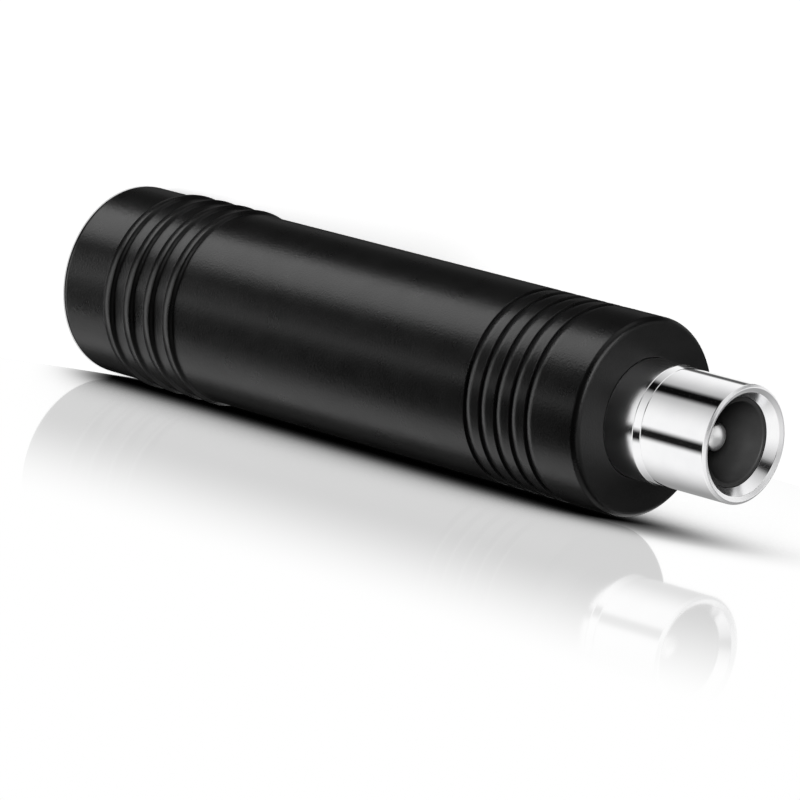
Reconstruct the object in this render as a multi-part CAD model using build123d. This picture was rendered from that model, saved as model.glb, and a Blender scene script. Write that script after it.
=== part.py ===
import os

from build123d import *

# Sizes in millimetres. The adapter stands on its jack end, with its axis on Z and the plug on top.

# moulded jacket
body_radius = 5.5
body_length = 40.7
rear_bevel = 0.55
front_bevel = 0.35
jacket_wall = 1.2
front_wall = 3.0  # jacket in front of the plug's flange

# raised ribs near the jack end
rib_count = 4
rib_start = 3.61  # rear face to the foot of the first rib
rib_pitch = 1.63
rib_rise = 0.72  # length over which a rib rises, and over which it falls
rib_fall = 0.3
rib_height = 0.17

# narrow grooves near the plug end, with a bead between each two
groove_count = 5
groove_setback = 3.81  # front face to the bottom of the nearest groove
groove_pitch = 1.13
groove_fall = 0.04  # length over which a groove falls, and over which it rises
groove_rise = 0.6
groove_depth = 0.17

# plug barrel
plug_radius = 3.25
plug_length = 7.15  # front face to mouth
plug_wall = 0.8
collar_radius = 3.3
collar_length = 1.85
band_length = 0.85  # turned band that tapers from the collar to the barrel
mouth_edge = 0.16
mouth_rim_drop = 0.16  # how far the rim falls from its outer edge to the bevel
mouth_bevel_width = 0.37
mouth_bevel_depth = 0.71  # mouth to the edge of the bore
flange_thickness = 1.0
spigot_wall = 0.45
spigot_length = 1.2

# black insulator inside the barrel
liner_wall = 0.25
plug_bore_depth = 9.15  # mouth to the floor of the insulator
liner_flange = 1.0

# centre pin of the plug
plug_pin_radius = 0.75
plug_pin_setback = 1.8  # mouth to the tip of the pin
plug_pin_grip = 0.25  # how much thicker the pin is where the insulator holds it

# jack: moulded insert for a plug of 5.5 mm with a 2.1 mm hole
jack_bore_radius = 2.95
jack_bore_depth = 9.6
jack_wall = 1.05
jack_chamfer = 0.35
jack_base_thickness = 3.0
jack_pin_radius = 1.0
jack_pin_setback = 1.2  # rear face to the tip of the pin
jack_pin_bevel = 0.5
jack_pin_grip = 0.2

# leaf contact of the jack
leaf_thickness = 0.25
leaf_width = 2.0
leaf_setback = 0.35  # bore wall to the middle of the flat leaf
leaf_reach = 2.6  # axis to the crest that touches a plug
leaf_crest = 3.6  # rear face to the crest
leaf_root = 1.0  # straight stretch in front of the base
leaf_bend = 1.2
leaf_tail = 3.0
leaf_start = 1.4  # rear face to the free end
slot_clearance = 0.1

# solder cups and lug
head_rim = 0.4  # how far a pin's head stands past its gripped part
head_thickness = 0.6
cup_radius = 1.0
cup_wall = 0.4
cup_depth = 2.0
cup_length = 2.5
lug_thickness = 0.35  # sheet that the ring and its tab are stamped from
lug_tab_length = 4.4
lug_tab_width = 2.0

# leads, solder and shrink sleeves
core_radius = 0.45
insulation_radius = 0.95
strip_length = 0.8  # bare core between a cup and the insulation
side_strip = 0.6  # bare core between a flat contact and the insulation
side_overlap = 2.4  # core lying on a flat contact
solder_radius = 0.8
solder_length = 1.8
solder_film = 0.06  # between the negative core and the flat contact it is soldered to
shrink_wall = 0.2
shrink_length = 5.1
shrink_start = 0.2  # from the pin's head

seat_gap = 0.02  # between round faces that seat in each other

# heights that follow from the sizes
mouth_z = body_length + plug_length
base_z = jack_bore_depth
base_top_z = base_z + jack_base_thickness
flange_top_z = body_length - front_wall
flange_z = flange_top_z - flange_thickness
lug_z = flange_z - lug_thickness
spigot_z = flange_z - spigot_length
liner_floor_z = mouth_z - plug_bore_depth
liner_z = spigot_z - liner_flange
jack_cup_z = base_top_z + head_thickness
jack_cup_end_z = jack_cup_z + cup_length
plug_cup_z = liner_z - head_thickness
plug_cup_end_z = plug_cup_z - cup_length
leaf_end_z = base_top_z + leaf_tail
lug_end_z = lug_z - lug_tab_length

# radii that follow from the sizes
mould_radius = body_radius - jacket_wall
jack_radius = jack_bore_radius + jack_wall
sleeve_bore_radius = plug_radius - plug_wall
spigot_radius = sleeve_bore_radius + spigot_wall
liner_radius = sleeve_bore_radius - seat_gap
liner_bore_radius = sleeve_bore_radius - liner_wall
leaf_x = jack_bore_radius + leaf_setback
side_face_x = leaf_x - leaf_thickness / 2
side_lead_x = side_face_x - solder_film - core_radius
lug_radius = mould_radius - seat_gap
shrink_bore_radius = cup_radius + seat_gap
shrink_radius = shrink_bore_radius + shrink_wall


def turn(*edges):
    # solid turned about Z from an outline of (radius, height) edges
    return revolve(Plane.XZ * make_face(list(edges)), Axis.Z)


def turn_points(*points):
    return turn(*Polyline(*points, close=True).edges())


def rod(radius, low, high, x=0.0):
    return Pos(x, 0, low) * Cylinder(radius, high - low, align=(Align.CENTER, Align.CENTER, Align.MIN))


def tube(radius, bore, low, high):
    return turn_points((bore, low), (radius, low), (radius, high), (bore, high))


def block(x_low, x_high, width, z_low, z_high):
    size = (x_high - x_low, width, z_high - z_low)
    return Pos(x_low, 0, z_low) * Box(*size, align=(Align.MIN, Align.CENTER, Align.MIN))


def rib_points():
    # raised ribs with a long slope towards the jack and a short one towards the plug
    points = []
    for i in range(rib_count):
        foot = rib_start + i * rib_pitch
        points.append((body_radius, foot))
        points.append((body_radius + rib_height, foot + rib_rise))
        points.append((body_radius, foot + rib_rise + rib_fall))
    return points


def groove_points():
    # grooves with a steep side towards the jack, which leave beads level with the body between them
    points = []
    first = body_length - groove_setback - (groove_count - 1) * groove_pitch
    for i in range(groove_count):
        bottom = first + i * groove_pitch
        points.append((body_radius, bottom - groove_fall))
        points.append((body_radius - groove_depth, bottom))
        points.append((body_radius, bottom + groove_rise))
    return points


def outer_body():
    jack_hole = jack_radius + seat_gap
    plug_hole = collar_radius + seat_gap
    points = [(jack_hole, 0), (body_radius - rear_bevel, 0), (body_radius, rear_bevel)]
    points += rib_points() + groove_points()
    points += [(body_radius, body_length - front_bevel), (body_radius - front_bevel, body_length)]
    points += [(plug_hole, body_length), (plug_hole, flange_top_z), (mould_radius, flange_top_z)]
    points += [(mould_radius, base_z), (jack_hole, base_z)]
    return turn_points(*points)


def plug_sleeve():
    collar_z = body_length + collar_length
    flange_radius = mould_radius - seat_gap
    points = [(sleeve_bore_radius, spigot_z), (spigot_radius, spigot_z), (spigot_radius, flange_z)]
    points += [(flange_radius, flange_z), (flange_radius, flange_top_z), (collar_radius, flange_top_z)]
    points += [(collar_radius, collar_z), (plug_radius, collar_z + band_length)]
    points += [(plug_radius, mouth_z - mouth_edge), (plug_radius - mouth_edge, mouth_z)]
    points += [(sleeve_bore_radius + mouth_bevel_width, mouth_z - mouth_rim_drop)]
    return turn_points(*points, (sleeve_bore_radius, mouth_z - mouth_bevel_depth))


def head_radius(grip):
    return grip + head_rim


def plug_liner():
    grip = plug_pin_radius + plug_pin_grip
    top_z = mouth_z - mouth_bevel_depth
    points = [(grip, liner_z), (spigot_radius, liner_z), (spigot_radius, spigot_z), (liner_radius, spigot_z)]
    points += [(liner_radius, top_z), (liner_bore_radius, top_z), (liner_bore_radius, liner_floor_z)]
    return turn_points(*points, (grip, liner_floor_z))


def plug_pin():
    # domed pin with a thicker grip in the insulator, a head behind it and a solder cup
    grip = plug_pin_radius + plug_pin_grip
    head = head_radius(grip)
    tip_z = mouth_z - plug_pin_setback
    side = (plug_pin_radius, tip_z - plug_pin_radius)
    cup_floor_z = plug_cup_end_z + cup_depth
    points = [(0, tip_z), (0, cup_floor_z), (cup_radius - cup_wall, cup_floor_z)]
    points += [(cup_radius - cup_wall, plug_cup_end_z), (cup_radius, plug_cup_end_z), (cup_radius, plug_cup_z)]
    points += [(head, plug_cup_z), (head, liner_z), (grip, liner_z), (grip, liner_floor_z)]
    points += [(plug_pin_radius, liner_floor_z), side]
    return turn(*Polyline(*points).edges(), TangentArc(side, (0, tip_z), tangent=(0, 1)))


def plug_lug():
    # ring on the back of the barrel, with a flat tab bent back for the negative lead
    ring = tube(lug_radius, spigot_radius + seat_gap, lug_z, flange_z)
    tab = block(side_face_x, side_face_x + lug_thickness, lug_tab_width, lug_end_z, lug_z)
    return ring + tab


def leaf_shape():
    # flat strip that dips to its crest inside the bore and leaves through the base
    root_z = base_z - leaf_root
    crest_x = leaf_reach + leaf_thickness / 2
    route = [(leaf_x, leaf_end_z), (leaf_x, root_z), (crest_x, leaf_crest), (leaf_x, leaf_start)]
    path = Plane.XZ * FilletPolyline(*route, radius=leaf_bend)
    section = Plane((leaf_x, 0, leaf_end_z)) * Rectangle(leaf_thickness, leaf_width)
    return sweep(section, path=path)


def jack_housing():
    points = [(jack_bore_radius, base_z), (jack_radius, base_z), (jack_radius, 0)]
    points += [(jack_bore_radius + jack_chamfer, 0), (jack_bore_radius, jack_chamfer)]
    slot_far = leaf_x + leaf_thickness / 2 + slot_clearance
    slot_low = leaf_start - leaf_thickness - slot_clearance
    slot = block(0, slot_far, leaf_width + 2 * slot_clearance, slot_low, base_z)
    return turn_points(*points) - slot


def jack_base():
    radius = mould_radius - seat_gap
    hole = jack_pin_radius + jack_pin_grip
    low_x = leaf_x - leaf_thickness / 2
    slot = block(low_x, low_x + leaf_thickness, leaf_width, base_z, base_top_z)
    return tube(radius, hole, base_z, base_top_z) - slot


def jack_pin():
    # pin with a bevelled tip, a thicker grip in the base, a head behind it and a solder cup
    grip = jack_pin_radius + jack_pin_grip
    head = head_radius(grip)
    side = (jack_pin_radius, jack_pin_setback + jack_pin_bevel)
    tip = (jack_pin_radius - jack_pin_bevel, jack_pin_setback)
    cup_floor_z = jack_cup_end_z - cup_depth
    points = [side, (jack_pin_radius, base_z), (grip, base_z), (grip, base_top_z), (head, base_top_z)]
    points += [(head, jack_cup_z), (cup_radius, jack_cup_z), (cup_radius, jack_cup_end_z)]
    points += [(cup_radius - cup_wall, jack_cup_end_z), (cup_radius - cup_wall, cup_floor_z)]
    return turn_points(*points, (0, cup_floor_z), (0, jack_pin_setback), tip)


def cup_solder(low):
    # solder between a core and its cup
    return tube(cup_radius - cup_wall, core_radius, low, low + cup_depth)


def side_solder(middle_z):
    # solder round the negative core where it lies on a flat contact
    low, high = middle_z - solder_length / 2, middle_z + solder_length / 2
    lump = rod(solder_radius, low, high, side_lead_x)
    below_face = block(side_lead_x - 2 * solder_radius, side_face_x, 2 * solder_radius, low, high)
    return lump & below_face - rod(core_radius, low, high, side_lead_x)


def shrink(low):
    return tube(shrink_radius, shrink_bore_radius, low, low + shrink_length)


def ring_of(radius, bore, low, high, x):
    return rod(radius, low, high, x) - rod(bore, low, high, x)


os.makedirs("parts", exist_ok=True)

positive_low = jack_cup_end_z - cup_depth
positive_high = plug_cup_end_z + cup_depth
negative_low = leaf_end_z - side_overlap
negative_high = lug_end_z + side_overlap
jack_joint_z = leaf_end_z - side_overlap / 2
plug_joint_z = lug_end_z + side_overlap / 2
shrink_jack_z = jack_cup_z + shrink_start
shrink_plug_z = plug_cup_z - shrink_start - shrink_length

parts = {
    "outer_body": outer_body(),
    "plug_sleeve": plug_sleeve(),
    "plug_liner": plug_liner(),
    "plug_pin": plug_pin(),
    "plug_lug": plug_lug(),
    "jack_housing": jack_housing(),
    "jack_base": jack_base(),
    "jack_pin": jack_pin(),
    "jack_spring": leaf_shape(),
    "lead_positive_core": rod(core_radius, positive_low, positive_high),
    "lead_positive_insulation": tube(
        insulation_radius, core_radius, jack_cup_end_z + strip_length, plug_cup_end_z - strip_length
    ),
    "lead_negative_core": rod(core_radius, negative_low, negative_high, side_lead_x),
    "lead_negative_insulation": ring_of(
        insulation_radius, core_radius, leaf_end_z + side_strip, lug_end_z - side_strip, side_lead_x
    ),
    "solder_jack_pin": cup_solder(positive_low),
    "solder_jack_spring": side_solder(jack_joint_z),
    "solder_plug_pin": cup_solder(plug_cup_end_z),
    "solder_plug_lug": side_solder(plug_joint_z),
    "shrink_jack": shrink(shrink_jack_z),
    "shrink_plug": shrink(shrink_plug_z),
}


def inner_mould():
    # fills the space between the jack's base and the plug's lug, round what it locks in place
    mould = rod(mould_radius - seat_gap, base_top_z, lug_z)
    mould -= rod(head_radius(jack_pin_radius + jack_pin_grip), base_top_z, jack_cup_z)
    mould -= rod(shrink_radius, jack_cup_z, shrink_jack_z + shrink_length)
    mould -= rod(insulation_radius, shrink_jack_z + shrink_length, shrink_plug_z)
    mould -= rod(shrink_radius, shrink_plug_z, plug_cup_z)
    mould -= rod(head_radius(plug_pin_radius + plug_pin_grip), plug_cup_z, liner_z)
    mould -= rod(spigot_radius, liner_z, lug_z)
    mould -= rod(insulation_radius, base_top_z, negative_high, side_lead_x)
    mould -= parts["jack_spring"]
    return mould - parts["plug_lug"]


parts["inner_mould"] = inner_mould()

for name, piece in parts.items():
    export_step(piece, f"parts/{name}.step")
    print(name, round(piece.volume, 3))
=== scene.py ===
import math

import bmesh
import bpy
from mathutils import Matrix, Vector


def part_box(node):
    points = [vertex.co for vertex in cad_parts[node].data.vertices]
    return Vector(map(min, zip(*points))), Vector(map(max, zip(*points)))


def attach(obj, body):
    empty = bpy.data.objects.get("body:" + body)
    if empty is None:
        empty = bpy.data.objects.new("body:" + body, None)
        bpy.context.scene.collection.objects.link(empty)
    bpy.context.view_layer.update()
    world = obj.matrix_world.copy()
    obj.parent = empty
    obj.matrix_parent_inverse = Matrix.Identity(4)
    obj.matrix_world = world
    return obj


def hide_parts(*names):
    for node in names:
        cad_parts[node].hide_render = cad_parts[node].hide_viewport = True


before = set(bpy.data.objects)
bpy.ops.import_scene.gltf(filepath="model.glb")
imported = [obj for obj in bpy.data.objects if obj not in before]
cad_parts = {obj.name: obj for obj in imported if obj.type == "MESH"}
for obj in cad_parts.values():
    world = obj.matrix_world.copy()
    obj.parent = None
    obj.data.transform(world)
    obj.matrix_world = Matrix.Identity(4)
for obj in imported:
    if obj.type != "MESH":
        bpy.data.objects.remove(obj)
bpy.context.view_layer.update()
mm = 0.001
print("frame loaded:", len(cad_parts), "nodes")

# camera: the adapter stands on its jack end, and the rolled camera shows it lying as in the photo
photoView = {
    "lens": 270.2,
    "sensor": 36.0,
    "picture": 800,  # pixels along each side of the photo
    "jackEnd": (130.46, 278.16),  # pixel of the middle of the jack end
    "distance": 348.72,  # mm from the camera to the jack end, along the view
    "slope": 15.613,  # degrees by which the axis runs down to the right
    "lean": 42.704,  # degrees by which the plug leans towards the camera
    "clip": (0.01, 10),  # m
}


def placeCamera():
    slope, lean = math.radians(photoView["slope"]), math.radians(photoView["lean"])
    slopeSin, slopeCos = math.sin(slope), math.cos(slope)
    leanSin, leanCos = math.sin(lean), math.cos(lean)
    # the adapter's X, Y and Z as the camera sees them: right, down, away
    rowX = Vector((-slopeSin, slopeCos, 0))
    rowY = Vector((leanSin * slopeCos, leanSin * slopeSin, leanCos))
    rowZ = Vector((leanCos * slopeCos, leanCos * slopeSin, -leanSin))
    half = photoView["picture"] / 2
    focal = photoView["lens"] / photoView["sensor"] * photoView["picture"]
    x, y = photoView["jackEnd"]
    jackEnd = Vector(((x - half) / focal, (y - half) / focal, 1)) * photoView["distance"] * mm
    right, down, away = (Vector((rowX[i], rowY[i], rowZ[i])) for i in range(3))
    place = Matrix((right, -down, -away)).transposed().to_4x4()
    place.translation = Vector((-rowX.dot(jackEnd), -rowY.dot(jackEnd), -rowZ.dot(jackEnd)))
    camera = bpy.data.objects.new("camera", bpy.data.cameras.new("camera"))
    bpy.context.scene.collection.objects.link(camera)
    camera.data.lens, camera.data.sensor_width = photoView["lens"], photoView["sensor"]
    camera.data.clip_start, camera.data.clip_end = photoView["clip"]
    camera.matrix_world = place
    bpy.context.scene.camera = camera


placeCamera()
bpy.context.scene.view_settings.view_transform = "Standard"
print("camera placed")


def addObject(name, mesh):
    piece = bpy.data.objects.new(name, mesh)
    bpy.context.scene.collection.objects.link(piece)
    return piece


arcReach = 0.48  # share of a side that the rounding of one corner may take


def cornerArc(before, corner, after, rounding, steps):
    # points of the arc that rounds one corner of an outline
    inward = (before - corner).normalized()
    outward = (after - corner).normalized()
    halfAngle = inward.angle(outward) / 2
    shorter = min((before - corner).length, (after - corner).length)
    reach = min(rounding / math.tan(halfAngle), arcReach * shorter)
    radius = reach * math.tan(halfAngle)
    middle = corner + (inward + outward).normalized() * (radius / math.sin(halfAngle))
    first, last = corner + inward * reach - middle, corner + outward * reach - middle
    turn = first.angle_signed(last)
    return [middle + Matrix.Rotation(-turn * i / steps, 2) @ first for i in range(steps + 1)]


def roundedOutline(corners, steps=8):
    # corners are (radius, height, rounding) in mm; a corner with no rounding stays as it is
    spots = [Vector(c[:2]) for c in corners]
    outline = []
    for i, spot in enumerate(spots):
        rounding = corners[i][2] if len(corners[i]) > 2 else 0
        if rounding:
            outline += cornerArc(spots[i - 1], spot, spots[(i + 1) % len(spots)], rounding, steps)
        else:
            outline.append(spot)
    return outline


def outlineNormals(outline):
    # a long straight stretch counts for more than the short steps of an arc beside it
    normals = []
    for i, spot in enumerate(outline):
        before, after = spot - outline[i - 1], outline[(i + 1) % len(outline)] - spot
        across = Vector((before.y + after.y, -before.x - after.x))
        normals.append(across.normalized())
    return normals


def turnedPiece(name, outline, around):
    # revolves a closed outline, listed counter-clockwise in (radius, height), about the Z axis
    normals = outlineNormals(outline)
    shape = bmesh.new()
    rings, vertexNormals = [], []
    for spot, normal in zip(outline, normals):
        onAxis = spot.x < 1e-6
        side = 0 if onAxis else normal.x
        ring = []
        for j in range(1 if onAxis else around):
            angle = 2 * math.pi * j / around
            cosine, sine = math.cos(angle), math.sin(angle)
            ring.append(shape.verts.new(Vector((spot.x * cosine, spot.x * sine, spot.y)) * mm))
            vertexNormals.append(Vector((side * cosine, side * sine, normal.y)).normalized())
        rings.append(ring)
    for i, low in enumerate(rings):
        high = rings[(i + 1) % len(rings)]
        for j in range(around):
            k = (j + 1) % around
            corners = [low[j % len(low)], low[k % len(low)]]
            corners += [high[k % len(high)], high[j % len(high)]]
            corners = [v for n, v in enumerate(corners) if v not in corners[:n]]
            if len(corners) > 2:
                shape.faces.new(corners)
    mesh = bpy.data.meshes.new(name)
    shape.to_mesh(mesh)
    shape.free()
    mesh.polygons.foreach_set("use_smooth", [True] * len(mesh.polygons))
    mesh.normals_split_custom_set_from_vertices([tuple(n) for n in vertexNormals])
    return addObject(name, mesh)


# materials
def nodeOf(tree, kind, inputs=None, **settings):
    node = tree.nodes.new(kind)
    for key, value in settings.items():
        setattr(node, key, value)
    for key, value in (inputs or {}).items():
        node.inputs[key].default_value = value
    return node


def calculator(tree):
    # returns a function that adds one maths node and gives its result
    def calc(operation, *values):
        node = nodeOf(tree, "ShaderNodeMath", operation=operation)
        for socket, value in zip(node.inputs, values):
            if isinstance(value, (int, float)):
                socket.default_value = value
            else:
                tree.links.new(value, socket)
        return node.outputs[0]

    return calc


def blankMaterial(name):
    material = bpy.data.materials.new(name)
    material.use_nodes = True
    return material, material.node_tree, material.node_tree.nodes["Principled BSDF"]


noiseDetail = {"slow": 2.0, "fine": 3.0}


def grainNoise(tree, size, detail):
    # noise with features of about the given size in mm, fixed to the piece
    where = nodeOf(tree, "ShaderNodeTexCoord")
    values = {"Scale": 1 / (size * mm), "Detail": detail, "Roughness": 0.5}
    noise = nodeOf(tree, "ShaderNodeTexNoise", values)
    tree.links.new(where.outputs["Object"], noise.inputs["Vector"])
    return noise.outputs["Fac"]


def spread(tree, value, low, high):
    # stretches the middle of a noise over a range of values
    middle = {"From Min": 0.3, "From Max": 0.7}
    stretch = nodeOf(tree, "ShaderNodeMapRange", {**middle, "To Min": low, "To Max": high})
    tree.links.new(value, stretch.inputs["Value"])
    return stretch.outputs["Result"]


def tint(tree, value, dark, light):
    mix = nodeOf(tree, "ShaderNodeMix", data_type="RGBA")
    mix.inputs[6].default_value = (*dark, 1)
    mix.inputs[7].default_value = (*light, 1)
    tree.links.new(spread(tree, value, 0, 1), mix.inputs[0])
    return mix.outputs[2]


def addBump(tree, shader, value, height):
    bump = nodeOf(tree, "ShaderNodeBump", {"Strength": 1.0, "Distance": height * mm})
    tree.links.new(value, bump.inputs["Height"])
    tree.links.new(bump.outputs["Normal"], shader.inputs["Normal"])


def makeFinish(name, look):
    # one finish: colour and roughness that vary a little, with a fine bump
    material, tree, shader = blankMaterial(name)
    slow = grainNoise(tree, look["patch"], noiseDetail["slow"])
    fine = grainNoise(tree, look["grain"], noiseDetail["fine"])
    tree.links.new(tint(tree, slow, look["dark"], look["light"]), shader.inputs["Base Color"])
    tree.links.new(spread(tree, slow, *look["rough"]), shader.inputs["Roughness"])
    addBump(tree, shader, fine, look["height"])
    for socket, value in look.get("sockets", {}).items():
        shader.inputs[socket].default_value = value
    return material


finishes = {  # patch and grain are the sizes and height is the depth of the pattern, in mm
    "jacket": {
        "dark": (0.006, 0.006, 0.006), "light": (0.009, 0.009, 0.009),
        "patch": 1.6, "rough": (0.27, 0.31), "grain": 0.12, "height": 0.009,
        "sockets": {"Specular IOR Level": 0.4},
    },
    "plating": {
        "dark": (0.90, 0.90, 0.91), "light": (0.94, 0.94, 0.945),
        "patch": 1.2, "rough": (0.05, 0.075), "grain": 0.25, "height": 0.0004,
        "sockets": {"Metallic": 1.0},
    },
    "liner": {
        "dark": (0.04, 0.04, 0.04), "light": (0.05, 0.05, 0.05),
        "patch": 1.0, "rough": (0.5, 0.55), "grain": 0.15, "height": 0.003,
        "sockets": {"Specular IOR Level": 0.3},
    },
    "pinPlating": {
        "dark": (0.86, 0.86, 0.86), "light": (0.91, 0.91, 0.91),
        "patch": 0.6, "rough": (0.33, 0.38), "grain": 0.1, "height": 0.0006,
        "sockets": {"Metallic": 1.0},
    },
    "tinnedBrass": {
        "dark": (0.62, 0.60, 0.54), "light": (0.75, 0.73, 0.68),
        "patch": 0.8, "rough": (0.25, 0.4), "grain": 0.1, "height": 0.004,
        "sockets": {"Metallic": 1.0},
    },
    "springBronze": {
        "dark": (0.68, 0.64, 0.58), "light": (0.78, 0.75, 0.69),
        "patch": 0.7, "rough": (0.18, 0.28), "grain": 0.08, "height": 0.002,
        "sockets": {"Metallic": 1.0},
    },
    "copper": {
        "dark": (0.62, 0.33, 0.2), "light": (0.76, 0.46, 0.31),
        "patch": 0.4, "rough": (0.25, 0.4), "grain": 0.12, "height": 0.02,
        "sockets": {"Metallic": 1.0},
    },
    "solder": {
        "dark": (0.52, 0.53, 0.54), "light": (0.68, 0.69, 0.70),
        "patch": 0.5, "rough": (0.2, 0.45), "grain": 0.3, "height": 0.02,
        "sockets": {"Metallic": 1.0},
    },
    "jackPlastic": {
        "dark": (0.010, 0.010, 0.010), "light": (0.015, 0.015, 0.015),
        "patch": 1.0, "rough": (0.32, 0.4), "grain": 0.12, "height": 0.004,
        "sockets": {"Specular IOR Level": 0.4},
    },
    "redInsulation": {
        "dark": (0.40, 0.012, 0.012), "light": (0.55, 0.03, 0.025),
        "patch": 1.2, "rough": (0.35, 0.45), "grain": 0.15, "height": 0.006,
    },
    "blackInsulation": {
        "dark": (0.012, 0.012, 0.012), "light": (0.022, 0.022, 0.022),
        "patch": 1.2, "rough": (0.35, 0.45), "grain": 0.15, "height": 0.006,
    },
    "shrinkTube": {
        "dark": (0.018, 0.018, 0.018), "light": (0.034, 0.034, 0.034),
        "patch": 0.9, "rough": (0.55, 0.7), "grain": 0.3, "height": 0.02,
    },
    "mouldPlastic": {
        "dark": (0.66, 0.64, 0.58), "light": (0.76, 0.74, 0.69),
        "patch": 2.0, "rough": (0.4, 0.55), "grain": 0.3, "height": 0.01,
        "sockets": {"Subsurface Weight": 0.2, "Subsurface Radius": (mm, mm, mm)},
    },
}
made = {name: makeFinish(name, look) for name, look in finishes.items()}
print("finishes made:", len(made))


def ownPlace(tree):
    # X, Y and Z of a spot on the piece
    place = nodeOf(tree, "ShaderNodeTexCoord")
    parts = nodeOf(tree, "ShaderNodeSeparateXYZ")
    tree.links.new(place.outputs["Object"], parts.inputs[0])
    return parts.outputs


def addRoughness(tree, calc, extra):
    roughness = tree.nodes["Principled BSDF"].inputs["Roughness"]
    tree.links.new(calc("ADD", roughness.links[0].from_socket, extra), roughness)


def satinZones(material, collarTop, rimLow, bevelRadius, extra):
    # rougher plating on the collar, on the rim and inside the mouth
    tree = material.node_tree
    calc = calculator(tree)
    spot = ownPlace(tree)
    across = calc("SQRT", calc("ADD", calc("POWER", spot["X"], 2), calc("POWER", spot["Y"], 2)))
    collar = calc("MULTIPLY", calc("LESS_THAN", spot["Z"], collarTop * mm), extra["collar"])
    rim = calc("MULTIPLY", calc("GREATER_THAN", spot["Z"], rimLow * mm), extra["rim"])
    bevel = calc("MULTIPLY", calc("LESS_THAN", across, bevelRadius * mm), extra["bevel"])
    addRoughness(tree, calc, calc("MAXIMUM", calc("MAXIMUM", collar, rim), bevel))


def roughenAbove(material, height, extra):
    # a duller face above the given height in mm
    tree = material.node_tree
    calc = calculator(tree)
    above = calc("GREATER_THAN", ownPlace(tree)["Z"], height * mm)
    addRoughness(tree, calc, calc("MULTIPLY", above, extra))


def dress(piece, finish, replaced):
    piece.data.materials.append(made[finish])
    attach(piece, "root")
    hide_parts(replaced)
    return piece


# jacket: black moulding with four ribs near the jack end and five grooves near the plug
jacket = {
    "radius": 5.5,
    "rearRounding": 0.6,
    "frontRounding": 0.42,
    "jackHole": 4.02,
    "plugHole": 3.32,
    "lipRounding": 0.06,
    "innerRounding": 0.02,
    "innerRadius": 4.3,
    "base": 9.6,  # height where the jack's insert ends
    "frontWall": 3.0,
    "ribs": 4,
    "ribStart": 3.7,  # foot of the first rib
    "ribPitch": 1.63,
    "ribRise": 0.7,  # length over which a rib rises, and over which it falls
    "ribFall": 0.25,
    "ribHeight": 0.185,
    "grooves": 5,
    "grooveSetback": 3.81,
    "groovePitch": 1.13,
    "grooveDepth": 0.18,
    "grooveFall": 0.04,  # length over which a groove falls, and over which its bead rises
    "grooveRise": 0.62,
    "steps": 10,  # points on each side of a rib or groove
    "around": 256,  # points round each ring
    "dullFace": 0.2,  # added roughness of the face round the plug
    "dullStart": 0.05,  # mm below that face where it starts
}


def ribPoints():
    # round ribs that rise from a crease and fall smoothly towards the plug
    points = []
    steps = jacket["steps"]
    for i in range(jacket["ribs"]):
        crest = jacket["ribStart"] + jacket["ribRise"] + i * jacket["ribPitch"]
        for k in range(-steps, steps + 1):
            share = abs(k) / steps
            rise = jacket["ribHeight"] * (1 - share**2 if k < 0 else (1 - share**2) ** 2)
            along = jacket["ribRise"] if k < 0 else jacket["ribFall"]
            points.append((jacket["radius"] + rise, crest + along * k / steps))
    return points


def groovePoints(length):
    # narrow grooves with a steep side towards the jack and round beads between them
    points = []
    steps = jacket["steps"]
    first = length - jacket["grooveSetback"] - (jacket["grooves"] - 1) * jacket["groovePitch"]
    for i in range(jacket["grooves"]):
        bottom = first + i * jacket["groovePitch"]
        for k in range(-steps, steps + 1):
            share = abs(k) / steps
            drop = jacket["grooveDepth"] * (1 - share) ** 2
            along = jacket["grooveFall"] if k < 0 else jacket["grooveRise"]
            points.append((jacket["radius"] - drop, bottom + along * k / steps))
    return points


def jacketPiece():
    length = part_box("outer_body")[1].z / mm
    radius, jackHole, plugHole, innerRadius = (
        jacket[key] for key in ("radius", "jackHole", "plugHole", "innerRadius")
    )
    lip, inner, wall = jacket["lipRounding"], jacket["innerRounding"], length - jacket["frontWall"]
    corners = [(jackHole, 0, lip), (radius, 0, jacket["rearRounding"])]
    corners += ribPoints() + groovePoints(length)
    corners += [(radius, length, jacket["frontRounding"]), (plugHole, length, lip)]
    corners += [(plugHole, wall, inner), (innerRadius, wall, inner)]
    corners += [(innerRadius, jacket["base"], inner), (jackHole, jacket["base"], inner)]
    roughenAbove(made["jacket"], length - jacket["dullStart"], jacket["dullFace"])
    piece = turnedPiece("jacket", roundedOutline(corners), jacket["around"])
    return dress(piece, "jacket", "outer_body")


# plug barrel: turned and plated, with a collar, a tapering band and a bevelled mouth
barrel = {
    "radius": 3.25,
    "bore": 2.45,
    "collarRadius": 3.3,
    "collarTop": 42.75,
    "bandTop": 43.27,
    "mouthEdge": 0.16,
    "mouthRimDrop": 0.16,
    "mouthBevelWidth": 0.37,
    "mouthBevelDepth": 0.71,
    "mouthRoundings": (0.1, 0.08, 0.06),  # outer edge, rim, inner edge
    "flangeRadius": 4.28,
    "flangeTop": 37.7,
    "flangeLow": 36.7,
    "spigotRadius": 2.9,
    "spigotLow": 35.5,
    "lineWidth": 0.03,  # half the width of the fine turned lines beside the band
    "lineDepth": 0.03,
    "lineRoundings": (0.008, 0.01),  # edges and bottom
    "edge": 0.03,  # rounding of the plain turned edges
    "around": 192,
    "satin": {"collar": 0.09, "rim": 0.3, "bevel": 0.1},  # added roughness
    "rimStart": 0.01,  # mm above the inner edge where the rim's finish starts
    "bevelStart": 0.02,  # mm inside that edge where the bevel's finish starts
}


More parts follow.
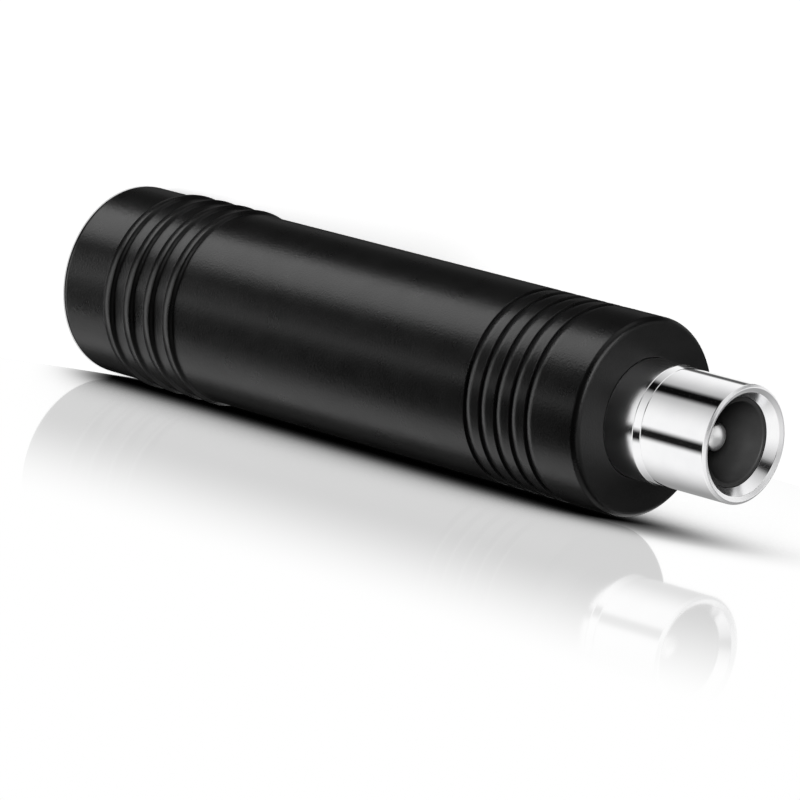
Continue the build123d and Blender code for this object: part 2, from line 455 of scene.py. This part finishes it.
def turnedLine(radius, height):
    half, depth = barrel["lineWidth"], barrel["lineDepth"]
    edge, bottom = barrel["lineRoundings"]
    start, end = (radius, height - half, edge), (radius, height + half, edge)
    return [start, (radius - depth, height, bottom), end]


def barrelPiece():
    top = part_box("plug_sleeve")[1].z / mm
    edge, bore, radius = barrel["edge"], barrel["bore"], barrel["radius"]
    collar, spigot, flange = barrel["collarRadius"], barrel["spigotRadius"], barrel["flangeRadius"]
    outerEdge, rimEdge, innerEdge = barrel["mouthRoundings"]
    innerRadius, innerHeight = bore + barrel["mouthBevelWidth"], top - barrel["mouthRimDrop"]
    corners = [(bore, barrel["spigotLow"], edge), (spigot, barrel["spigotLow"], edge)]
    corners += [(spigot, barrel["flangeLow"], edge), (flange, barrel["flangeLow"], edge)]
    corners += [(flange, barrel["flangeTop"], edge), (collar, barrel["flangeTop"], edge)]
    corners += turnedLine(collar, barrel["collarTop"]) + turnedLine(radius, barrel["bandTop"])
    corners += [(radius, top - barrel["mouthEdge"], outerEdge)]
    corners += [(radius - barrel["mouthEdge"], top, rimEdge), (innerRadius, innerHeight, innerEdge)]
    corners += [(bore, top - barrel["mouthBevelDepth"], edge)]
    rimLow, bevelRadius = innerHeight + barrel["rimStart"], innerRadius - barrel["bevelStart"]
    satinZones(made["plating"], barrel["collarTop"], rimLow, bevelRadius, barrel["satin"])
    piece = turnedPiece("plugBarrel", roundedOutline(corners), barrel["around"])
    return dress(piece, "plating", "plug_sleeve")


# liner: black insulator in the barrel, which holds the pin
liner = {
    "radius": 2.43,
    "bore": 2.2,
    "grip": 1.0,
    "flangeRadius": 2.9,
    "flangeTop": 35.5,
    "floor": 38.7,
    "edge": 0.05,
    "mouthRounding": 0.1,
    "floorRounding": 0.2,
    "around": 128,
}


def linerPiece():
    low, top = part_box("plug_liner")[0].z / mm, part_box("plug_liner")[1].z / mm
    bore, radius, flange = liner["bore"], liner["radius"], liner["flangeRadius"]
    edge = liner["edge"]
    corners = [(liner["grip"], low, edge), (flange, low, edge)]
    corners += [(flange, liner["flangeTop"], edge), (radius, liner["flangeTop"], edge)]
    corners += [(radius, top, edge), (bore, top, liner["mouthRounding"])]
    corners += [(bore, liner["floor"], liner["floorRounding"]), (liner["grip"], liner["floor"], edge)]
    piece = turnedPiece("plugLiner", roundedOutline(corners), liner["around"])
    return dress(piece, "liner", "plug_liner")


# centre pin of the plug: domed tip, head and solder cup
plugPin = {
    "radius": 0.75,
    "grip": 1.0,
    "gripTop": 38.7,
    "gripLow": 34.5,
    "headRadius": 1.4,
    "headLow": 33.9,
    "cupRadius": 1.0,
    "cupBore": 0.6,
    "cupDepth": 2.0,
    "domeRadius": 1.2,
    "domeWidth": 0.7,  # radius at which the dome meets the rounded edge
    "domeSteps": 12,
    "shoulder": 0.3,  # tip to the foot of the rounded edge
    "shoulderRounding": 0.05,
    "edge": 0.04,
    "around": 96,
}


def pinPiece():
    low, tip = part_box("plug_pin")[0].z / mm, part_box("plug_pin")[1].z / mm
    edge, cupFloor = plugPin["edge"], low + plugPin["cupDepth"]
    radius, grip, head, cup, cupBore = (
        plugPin[key] for key in ("radius", "grip", "headRadius", "cupRadius", "cupBore")
    )
    corners = [(0, cupFloor), (cupBore, cupFloor, edge), (cupBore, low, edge)]
    corners += [(cup, low, edge), (cup, plugPin["headLow"], edge)]
    corners += [(head, plugPin["headLow"], edge), (head, plugPin["gripLow"], edge)]
    corners += [(grip, plugPin["gripLow"], edge), (grip, plugPin["gripTop"], edge)]
    corners += [(radius, plugPin["gripTop"], edge)]
    corners += [(radius, tip - plugPin["shoulder"], plugPin["shoulderRounding"])]
    dome, steps = plugPin["domeRadius"], plugPin["domeSteps"]
    turn = math.asin(plugPin["domeWidth"] / dome)
    for i in range(steps, -1, -1):
        angle = turn * i / steps
        corners.append((dome * math.sin(angle), tip - dome + dome * math.cos(angle)))
    piece = turnedPiece("plugPin", roundedOutline(corners), plugPin["around"])
    return dress(piece, "pinPlating", "plug_pin")


# jack insert: moulded sleeve with the bore for a plug and a slot for the leaf contact
jackInsert = {
    "bore": 2.95,
    "chamfer": 0.35,
    "edge": 0.05,
    "slotFar": 3.525,
    "slotLow": 1.05,
    "slotWidth": 2.2,
    "cutterReach": 1,  # mm by which the slot's cutter stands out at the top
    "sharpFrom": 30,  # degrees between two faces
    "arcSteps": 4,
    "around": 128,
}


def markEdges(mesh, limit):
    # smooth shading with sharp edges where two faces meet at more than the limit in degrees
    shape = bmesh.new()
    shape.from_mesh(mesh)
    for edge in shape.edges:
        edge.smooth = len(edge.link_faces) == 2 and edge.calc_face_angle() < math.radians(limit)
    for face in shape.faces:
        face.smooth = True
    shape.to_mesh(mesh)
    shape.free()


def boxPiece(name, low, high):
    shape = bmesh.new()
    bmesh.ops.create_cube(shape, size=1)
    middle, size = (Vector(low) + Vector(high)) / 2, Vector(high) - Vector(low)
    for v in shape.verts:
        v.co = (middle + Vector(v.co[i] * size[i] for i in range(3))) * mm
    mesh = bpy.data.meshes.new(name)
    shape.to_mesh(mesh)
    shape.free()
    return addObject(name, mesh)


def jackInsertPiece():
    radius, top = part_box("jack_housing")[1].x / mm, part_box("jack_housing")[1].z / mm
    bore, chamfer, edge = jackInsert["bore"], jackInsert["chamfer"], jackInsert["edge"]
    corners = [(bore, chamfer, edge), (bore + chamfer, 0, edge), (radius, 0, edge)]
    corners += [(radius, top, edge), (bore, top, edge)]
    outline = roundedOutline(corners, jackInsert["arcSteps"])
    piece = turnedPiece("jackInsert", outline, jackInsert["around"])
    half, cutterTop = jackInsert["slotWidth"] / 2, top + jackInsert["cutterReach"]
    low, high = (0, -half, jackInsert["slotLow"]), (jackInsert["slotFar"], half, cutterTop)
    cutter = boxPiece("slotCutter", low, high)
    cut = piece.modifiers.new("slot", "BOOLEAN")
    cut.operation, cut.object, cut.solver = "DIFFERENCE", cutter, "EXACT"
    evaluated = piece.evaluated_get(bpy.context.evaluated_depsgraph_get())
    slotted = bpy.data.meshes.new_from_object(evaluated)
    piece.modifiers.clear()
    piece.data = slotted
    bpy.data.objects.remove(cutter)
    markEdges(piece.data, jackInsert["sharpFrom"])
    return dress(piece, "jackPlastic", "jack_housing")


# centre pin of the jack
jackPin = {
    "radius": 1.0,
    "tipBevel": 0.5,
    "tipRoundings": (0.2, 0.3),
    "base": 9.6,
    "grip": 1.2,
    "gripTop": 12.6,
    "headRadius": 1.6,
    "headTop": 13.2,
    "cupBore": 0.6,
    "cupDepth": 2.0,
    "edge": 0.05,
    "around": 96,
}


def jackPinPiece():
    low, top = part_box("jack_pin")[0].z / mm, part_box("jack_pin")[1].z / mm
    edge, radius, bevel = jackPin["edge"], jackPin["radius"], jackPin["tipBevel"]
    grip, head, cupBore = jackPin["grip"], jackPin["headRadius"], jackPin["cupBore"]
    tipEdge, tipFoot = jackPin["tipRoundings"]
    cupFloor = top - jackPin["cupDepth"]
    corners = [(0, low), (radius - bevel, low, tipEdge), (radius, low + bevel, tipFoot)]
    corners += [(radius, jackPin["base"], edge), (grip, jackPin["base"], edge)]
    corners += [(grip, jackPin["gripTop"], edge), (head, jackPin["gripTop"], edge)]
    corners += [(head, jackPin["headTop"], edge), (radius, jackPin["headTop"], edge)]
    corners += [(radius, top, edge), (cupBore, top, edge), (cupBore, cupFloor, edge), (0, cupFloor)]
    piece = turnedPiece("jackPin", roundedOutline(corners), jackPin["around"])
    return dress(piece, "pinPlating", "jack_pin")


jacketObject = jacketPiece()
barrelObject = barrelPiece()
linerObject = linerPiece()
pinObject = pinPiece()
insertObject = jackInsertPiece()
jackPinObject = jackPinPiece()
print("turned pieces made")

# the other pieces keep their solids and get their finish
carriedFinishes = {
    "plug_lug": "tinnedBrass",
    "jack_base": "jackPlastic",
    "jack_spring": "springBronze",
    "lead_positive_core": "copper",
    "lead_negative_core": "copper",
    "lead_positive_insulation": "redInsulation",
    "lead_negative_insulation": "blackInsulation",
    "solder_jack_pin": "solder",
    "solder_jack_spring": "solder",
    "solder_plug_pin": "solder",
    "solder_plug_lug": "solder",
    "shrink_jack": "shrinkTube",
    "shrink_plug": "shrinkTube",
    "inner_mould": "mouldPlastic",
}
for node, finish in carriedFinishes.items():
    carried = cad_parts[node].data
    carried.materials.clear()
    carried.materials.append(made[finish])
print("carried pieces finished:", len(carriedFinishes))

# studio: azimuth 0 is the camera's side (-Y) and 90 is +X; elevation is above the horizon
studio = {
    "distance": 300,  # mm from the adapter's middle to each lamp
    "middle": 22,
    "narrowest": 0.4,  # least share to which a softbox high up or low down narrows
    "softboxes": {  # for the plastic: azimuth, elevation, width and height in degrees, brightness
        "key": (-59, -43, 42, 32, 2.2),
        "low": (86, -43, 40, 32, 0.9),
        "edge": (9, -43, 12, 32, 0.85),
        "rim": (-148, -43, 18, 40, 0.12),
        "fillLeft": (-105, -43, 70, 50, 0.03),
        "fillFront": (-4, -43, 70, 50, 0.06),
        "fillRight": (105, -43, 60, 50, 0.06),
        "under": (28, -66, 96, 20, 1.5),
        "over": (-70, 66, 84, 40, 3.0),
        "overRight": (64, 66, 62, 40, 0.5),
        "horizonLeft": (-75, 5, 56, 44, 0.5),
        "horizonRight": (95, 5, 60, 44, 0.4),
        "behind": (180, 43, 50, 50, 0.1),
        "rightSide": (150, 5, 24, 50, 1.0),
        "leftSide": (-150, 5, 24, 50, 0.3),
    },
    "mouthGlow": (-5, 34, 26, 22, 24),  # for the liner, inside the mouth
    "floorSun": (0, 58, 8, 2.0),  # for the floor: azimuth, elevation, apparent size, irradiance
    "backdropRadius": 1400,
    "backdropSegments": (64, 32),
    "darkCards": {  # seen in metal only: azimuth, half width, softness in degrees, darkness
        "left": (-67, 11, 12, 0.99),
        "leftHalo": (-67, 25, 80, 0.75),
        "right": (26, 10, 12, 0.99),
        "back": (-148, 9, 8, 0.9),
    },
    "rightCardTop": (-25, -8),  # elevations between which the right card ends
    "cardSlant": 0.5,  # degrees of azimuth for each degree of elevation
    "dimSide": (70, 145, -175.5, -171),  # azimuths between which the backdrop dims and brightens
    "dimLevel": 0.32,
}


def direction(azimuth, elevation):
    a, e = math.radians(azimuth), math.radians(elevation)
    return Vector((math.sin(a) * math.cos(e), -math.cos(a) * math.cos(e), math.sin(e)))


def addLamp(name, kind, towards, receivers):
    # a lamp that shines only on the pieces of one collection
    lamp = bpy.data.lights.new(name, kind)
    holder = bpy.data.objects.new(name, lamp)
    bpy.context.scene.collection.objects.link(holder)
    holder.location = Vector((0, 0, studio["middle"] * mm)) + towards * studio["distance"] * mm
    holder.rotation_euler = towards.to_track_quat("Z", "Y").to_euler()
    holder.visible_camera = False
    holder.light_linking.receiver_collection = receivers
    return lamp


def addSoftbox(name, azimuth, elevation, width, height, brightness, receivers):
    lamp = addLamp(name, "AREA", direction(azimuth, elevation), receivers)
    reach = 2 * studio["distance"] * mm
    lamp.shape = "RECTANGLE"
    narrowing = max(math.cos(math.radians(elevation)), studio["narrowest"])
    lamp.size = reach * math.tan(math.radians(width / 2)) * narrowing
    lamp.size_y = reach * math.tan(math.radians(height / 2))
    lamp.energy = brightness * math.pi * lamp.size * lamp.size_y


def addFloorSun(receivers):
    azimuth, elevation, size, irradiance = studio["floorSun"]
    lamp = addLamp("floorSun", "SUN", direction(azimuth, elevation), receivers)
    lamp.angle = math.radians(size)
    lamp.energy = irradiance


def plane(name, corners):
    mesh = bpy.data.meshes.new(name)
    mesh.from_pydata([tuple(Vector(c) * mm) for c in corners], [], [(0, 1, 2, 3)])
    return addObject(name, mesh)


def stepBetween(tree, value, low, high, start=0.0, end=1.0):
    ends = {"From Min": low, "From Max": high, "To Min": start, "To Max": end}
    step = nodeOf(tree, "ShaderNodeMapRange", ends, interpolation_type="SMOOTHSTEP")
    tree.links.new(value, step.inputs["Value"])
    return step.outputs["Result"]


def glowMaterial(name):
    # material with only a glow, whose strength is linked by the caller
    material = bpy.data.materials.new(name)
    material.use_nodes = True
    tree = material.node_tree
    tree.nodes.remove(tree.nodes["Principled BSDF"])
    glow = nodeOf(tree, "ShaderNodeEmission")
    tree.links.new(glow.outputs[0], tree.nodes["Material Output"].inputs["Surface"])
    return material, tree, glow


def backdropMaterial():
    # white all round, with dark cards that show only as streaks in the metal
    material, tree, glow = glowMaterial("backdrop")
    material.cycles.emission_sampling = "NONE"
    calc = calculator(tree)
    place = nodeOf(tree, "ShaderNodeNewGeometry")
    unit = nodeOf(tree, "ShaderNodeVectorMath", operation="NORMALIZE")
    parts = nodeOf(tree, "ShaderNodeSeparateXYZ")
    tree.links.new(place.outputs["Position"], unit.inputs[0])
    tree.links.new(unit.outputs[0], parts.inputs[0])
    azimuth = calc("ARCTAN2", parts.outputs["X"], calc("MULTIPLY", parts.outputs["Y"], -1))
    rise = calc("ADD", calc("ARCSINE", parts.outputs["Z"]), math.radians(photoView["lean"]))
    slanted = calc("SUBTRACT", azimuth, calc("MULTIPLY", rise, studio["cardSlant"]))
    dims, dimmed, brightens, bright = (math.radians(a) for a in studio["dimSide"])
    dimLevel = studio["dimLevel"]
    level = calc(
        "MINIMUM",
        stepBetween(tree, azimuth, dims, dimmed, 1, dimLevel),
        stepBetween(tree, azimuth, brightens, bright, dimLevel, 1),
    )
    elevation = calc("ARCSINE", parts.outputs["Z"])
    ends, gone = (math.radians(a) for a in studio["rightCardTop"])
    for name, (card, half, soft, dark) in studio["darkCards"].items():
        offset = calc("SUBTRACT", slanted, math.radians(card))
        offset = calc("ABSOLUTE", calc("WRAP", offset, -math.pi, math.pi))
        inner, outer = math.radians(half - soft / 2), math.radians(half + soft / 2)
        streak = stepBetween(tree, offset, inner, outer, 1 - dark)
        if name == "right":
            streak = calc("MAXIMUM", streak, stepBetween(tree, elevation, ends, gone))
        level = calc("MULTIPLY", level, streak)
    rays = nodeOf(tree, "ShaderNodeLightPath")
    shown = nodeOf(tree, "ShaderNodeMix", {"B": 1.0})
    tree.links.new(rays.outputs["Is Camera Ray"], shown.inputs["Factor"])
    tree.links.new(level, shown.inputs["A"])
    tree.links.new(shown.outputs["Result"], glow.inputs["Strength"])
    return material


def addBackdrop(receivers):
    shape = bmesh.new()
    radius, (u, v) = studio["backdropRadius"] * mm, studio["backdropSegments"]
    bmesh.ops.create_uvsphere(shape, u_segments=u, v_segments=v, radius=radius)
    mesh = bpy.data.meshes.new("backdrop")
    shape.to_mesh(mesh)
    shape.free()
    backdrop = addObject("backdrop", mesh)
    backdrop.data.materials.append(backdropMaterial())
    backdrop.visible_shadow = False
    backdrop.light_linking.receiver_collection = receivers


# stage: a pale floor under the adapter, and a glossy pale table along its side, as in the photo
stage = {
    "floorHalf": 1300,
    "floorColour": 0.8,
    "floorGlow": 0.6,
    "tableTilt": 4.5,  # degrees that the table turns its face towards the camera
    "tableGap": 0.05,
    "tableNear": 230,  # mm towards the camera
    "tableFar": 60,
    "tableLength": (-40, 300),  # mm along the adapter's axis
    "shadeWhite": 0.92,  # open share of the sky where the table is white
    "shadePower": 3.7,
    "shadeEnds": (-6, 0.5, 39.5, 55),  # mm along the axis between which the shade comes and goes
    "shadeSlant": 0.95,  # mm that the start of the shade moves along the axis per mm to the camera
    "shadeReach": 1.0,  # m over which cover counts
    "shadeSamples": 16,
    "gloss": 0.355,
    "mirrorRough": 0.03,
    "glossFade": (28, 66),  # mm from the adapter between which the table's gloss fades
}


def frontOnly(tree, surface):
    # makes a surface clear from its back
    place = nodeOf(tree, "ShaderNodeNewGeometry")
    front = nodeOf(tree, "ShaderNodeMixShader")
    clear = nodeOf(tree, "ShaderNodeBsdfTransparent")
    tree.links.new(place.outputs["Backfacing"], front.inputs["Fac"])
    tree.links.new(surface, front.inputs[1])
    tree.links.new(clear.outputs[0], front.inputs[2])
    tree.links.new(front.outputs[0], tree.nodes["Material Output"].inputs["Surface"])


def floorMaterial():
    # pale floor that reads as white to the camera and keeps the adapter's soft shadow
    material, tree, shader = blankMaterial("floor")
    shader.inputs["Base Color"].default_value = (*[stage["floorColour"]] * 3, 1)
    shader.inputs["Roughness"].default_value = 1
    shader.inputs["Specular IOR Level"].default_value = 0
    shader.inputs["Emission Color"].default_value = (1, 1, 1, 1)
    shader.inputs["Emission Strength"].default_value = stage["floorGlow"]
    frontOnly(tree, shader.outputs[0])
    return material


def tableMaterial(tilt):
    # painted shade: the glow darkens where more of the sky is covered, and the gloss fades towards
    # the camera
    material, tree, glow = glowMaterial("table")
    calc = calculator(tree)
    reach = {"Distance": stage["shadeReach"]}
    sky = nodeOf(tree, "ShaderNodeAmbientOcclusion", reach, samples=stage["shadeSamples"])
    share = nodeOf(tree, "ShaderNodeMapRange", {"From Max": stage["shadeWhite"]})
    tree.links.new(sky.outputs["AO"], share.inputs["Value"])
    place = nodeOf(tree, "ShaderNodeNewGeometry")
    parts = nodeOf(tree, "ShaderNodeSeparateXYZ")
    tree.links.new(place.outputs["Position"], parts.inputs[0])
    along = nodeOf(tree, "ShaderNodeVectorMath", operation="DOT_PRODUCT")
    along.inputs[1].default_value = (math.sin(tilt), -math.cos(tilt), 0)
    tree.links.new(place.outputs["Position"], along.inputs[0])
    slant = calc("MULTIPLY", along.outputs["Value"], stage["shadeSlant"])
    slanted = calc("SUBTRACT", parts.outputs["Z"], slant)
    comes, full, goes, gone = (height * mm for height in stage["shadeEnds"])
    ends = calc(
        "MULTIPLY",
        stepBetween(tree, slanted, comes, full),
        stepBetween(tree, parts.outputs["Z"], goes, gone, 1, 0),
    )
    cover = calc("SUBTRACT", 1, calc("POWER", share.outputs["Result"], stage["shadePower"]))
    shade = calc("SUBTRACT", 1, calc("MULTIPLY", cover, ends))
    near, far = (distance * mm for distance in stage["glossFade"])
    gloss = stepBetween(tree, along.outputs["Value"], near, far, stage["gloss"], 0.0)
    glossy = {"Color": (1, 1, 1, 1), "Roughness": stage["mirrorRough"]}
    mirror = nodeOf(tree, "ShaderNodeBsdfGlossy", glossy)
    blend = nodeOf(tree, "ShaderNodeMixShader")
    # the painted shade sets the strength of the table's glow
    tree.links.new(shade, glow.inputs["Strength"])
    tree.links.new(calc("MULTIPLY", gloss, shade), blend.inputs["Fac"])
    tree.links.new(glow.outputs[0], blend.inputs[1])
    tree.links.new(mirror.outputs[0], blend.inputs[2])
    frontOnly(tree, blend.outputs[0])
    return material


def onlyForCamera(piece):
    piece.visible_glossy = piece.visible_transmission = False
    piece.visible_diffuse = piece.visible_shadow = False


def addFloor():
    half = stage["floorHalf"]
    corners = [(-half, -half, 0), (half, -half, 0), (half, half, 0), (-half, half, 0)]
    floor = plane("floor", corners)
    floor.data.materials.append(floorMaterial())
    onlyForCamera(floor)
    return floor


def addTable():
    # touches the ribs along the adapter's lower side in the photo, and is seen from its front only
    tilt = math.radians(stage["tableTilt"])
    outward = Vector((math.cos(tilt), math.sin(tilt), 0))
    towards = Vector((math.sin(tilt), -math.cos(tilt), 0))
    contact = outward * (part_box("outer_body")[1].x / mm + stage["tableGap"])
    near, far = contact + towards * stage["tableNear"], contact - towards * stage["tableFar"]
    low, high = (Vector((0, 0, z)) for z in stage["tableLength"])
    table = plane("table", [near + low, near + high, far + high, far + low])
    table.data.materials.append(tableMaterial(tilt))
    onlyForCamera(table)
    return table


def collect(name, members):
    group = bpy.data.collections.new(name)
    for member in members:
        group.objects.link(member)
    return group


floorObject, tableObject = addFloor(), addTable()
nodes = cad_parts
plasticPieces = collect("plasticPieces", [jacketObject, insertObject, nodes["jack_base"]])
otherNodes = [nodes[node] for node in carriedFinishes if node != "jack_base"]
metalObjects = [barrelObject, pinObject, jackPinObject, tableObject]
metalPieces = collect("metalPieces", metalObjects + otherNodes)
for name, softbox in studio["softboxes"].items():
    addSoftbox(name, *softbox, plasticPieces)
addSoftbox("mouthGlow", *studio["mouthGlow"], collect("linerOnly", [linerObject]))
addFloorSun(collect("floorOnly", [floorObject]))
addBackdrop(metalPieces)
print("studio and stage made")
